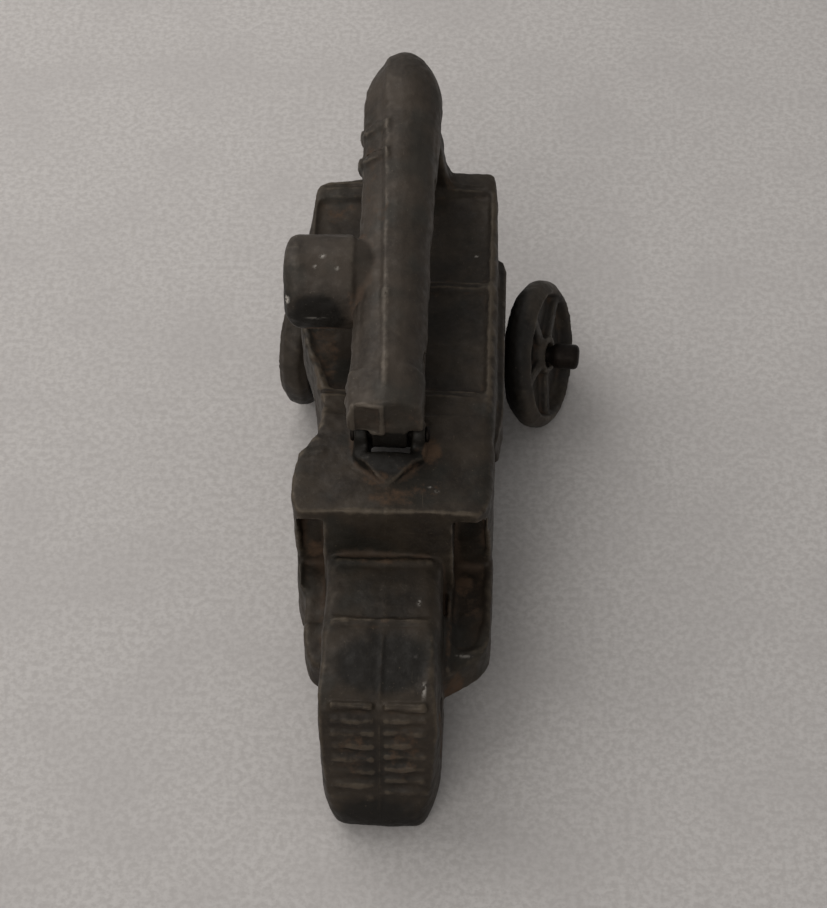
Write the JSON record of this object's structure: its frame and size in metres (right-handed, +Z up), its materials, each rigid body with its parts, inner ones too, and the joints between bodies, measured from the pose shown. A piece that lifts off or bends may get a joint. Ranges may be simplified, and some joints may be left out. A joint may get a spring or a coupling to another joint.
{
  "type": "toy truck with raised boom",
  "caption": "Cast-metal toy truck with louvred nose, riveted body halves, tipping boom with side drum, and loose spoked rear wheels.",
  "frame": {"origin": "on the ground, at the middle of the whole toy's footprint", "axes": "+Z up, -Y towards the nose, +Y towards the tip of the boom, -X is the vehicle's left, where the drum is"},
  "size_m": [0.0392, 0.0896, 0.0457],
  "materials": {
    "body": "dark worn casting with brown dirt in the hollows",
    "boom": "dark grey worn casting, a little smoother and lighter than the body",
    "wheel": "dark worn casting with brown dirt between the spokes",
    "axle": "blackened steel rod",
    "rivet": "dark peened steel"
  },
  "bodies": {
    "body": {"body_left_half": "body", "body_right_half": "body", "nose_rivet": "rivet", "cab_rivet": "rivet", "deck_rivet": "rivet", "boom_pivot_pin": "rivet"},
    "boom": {"boom_left_half": "boom", "boom_right_half": "boom", "boom_rivet_front": "rivet", "boom_rivet_rear": "rivet"},
    "axle": {"rear_axle": "axle"},
    "left_wheel": {"left_wheel": "wheel"},
    "right_wheel": {"right_wheel": "wheel"}
  },
  "joints": [
    {"name": "boom_tip", "type": "hinge", "parent": "body", "child": "boom", "pos_m": [-0.00346, -0.0084, 0.0292], "axis": [1, 0, 0], "range_deg": [0, 40]},
    {"name": "axle_spin", "type": "hinge", "parent": "body", "child": "axle", "pos_m": [-0.00346, 0.026, 0.0096], "axis": [0.9947, -0.1028, 0], "continuous": true},
    {"name": "left_wheel_spin", "type": "hinge", "parent": "body", "child": "left_wheel", "pos_m": [-0.01576, 0.02727, 0.0097], "axis": [-0.975, 0.22, -0.03], "continuous": true},
    {"name": "right_wheel_spin", "type": "hinge", "parent": "body", "child": "right_wheel", "pos_m": [0.01414, 0.02418, 0.0095], "axis": [0.9434, -0.2574, 0.2093], "continuous": true}
  ]
}
